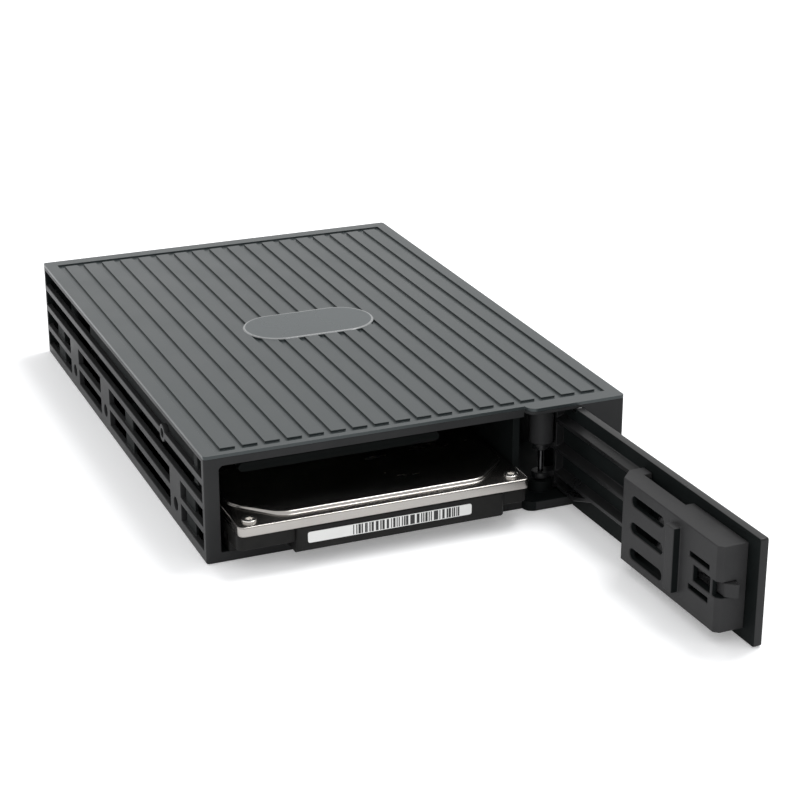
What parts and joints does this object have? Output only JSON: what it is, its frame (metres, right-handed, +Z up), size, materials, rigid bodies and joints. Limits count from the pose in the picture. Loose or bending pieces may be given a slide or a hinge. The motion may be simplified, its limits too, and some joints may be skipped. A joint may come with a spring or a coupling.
{
  "type": "drive bay adapter",
  "caption": "Flat ribbed housing with open side walls and a hinged front door, which holds a small drive and fits where a larger drive goes.",
  "frame": {"origin": "centre of the housing's underside", "axes": "+X to the hinge side, +Y from the door to the rear connector, +Z up through the ribbed cover"},
  "size_m": [0.1016, 0.226, 0.026],
  "materials": {
    "housing_plastic": "fine matte moulded black",
    "cover_plastic": "fine matte moulded black",
    "door_plastic": "fine matte moulded black",
    "connector_plastic": "moulded black",
    "board": "solder mask",
    "gilt": "thin gilding",
    "steel": "bright plated",
    "drive_casting": "black coated casting",
    "drive_steel": "stainless pressing",
    "label_paper": "plain white label"
  },
  "bodies": {
    "housing": {"base_shell": "housing_plastic", "top_cover": "cover_plastic", "cover_screws": "steel", "hinge_pin": "steel", "adapter_board": "board", "board_screws": "steel", "drive_socket": "connector_plastic", "socket_tails": "gilt", "host_plug": "connector_plastic", "host_contacts": "gilt"},
    "door": {"door_panel": "door_plastic", "latch_housing": "door_plastic", "latch_spring": "steel"},
    "latch": {"latch_slider": "door_plastic"},
    "drive": {"drive_base": "drive_casting", "drive_cover": "drive_steel", "drive_cover_screws": "steel", "drive_label": "label_paper", "drive_board": "board", "drive_plug": "connector_plastic", "drive_contacts": "gilt"}
  },
  "joints": [
    {"name": "door_swing", "type": "hinge", "parent": "housing", "child": "door", "pos_m": [0.0328, -0.0691, 0.0125], "axis": [0, 0, 1], "range_deg": [-91.7, 0]},
    {"name": "latch_slide", "type": "slide", "parent": "door", "child": "latch", "axis": [-0.0297, 0.9996, 0], "range_m": [0, 0.0026], "stiffness_N_per_m": 200, "deforming": ["latch_spring"]},
    {"name": "drive_slide", "type": "slide", "parent": "housing", "child": "drive", "axis": [0, 1, 0], "range_m": [0, 0.017]}
  ],
  "couplings": [
    {"joint": "drive_slide", "follows": "door_swing", "m_per_rad": -0.010434}
  ]
}
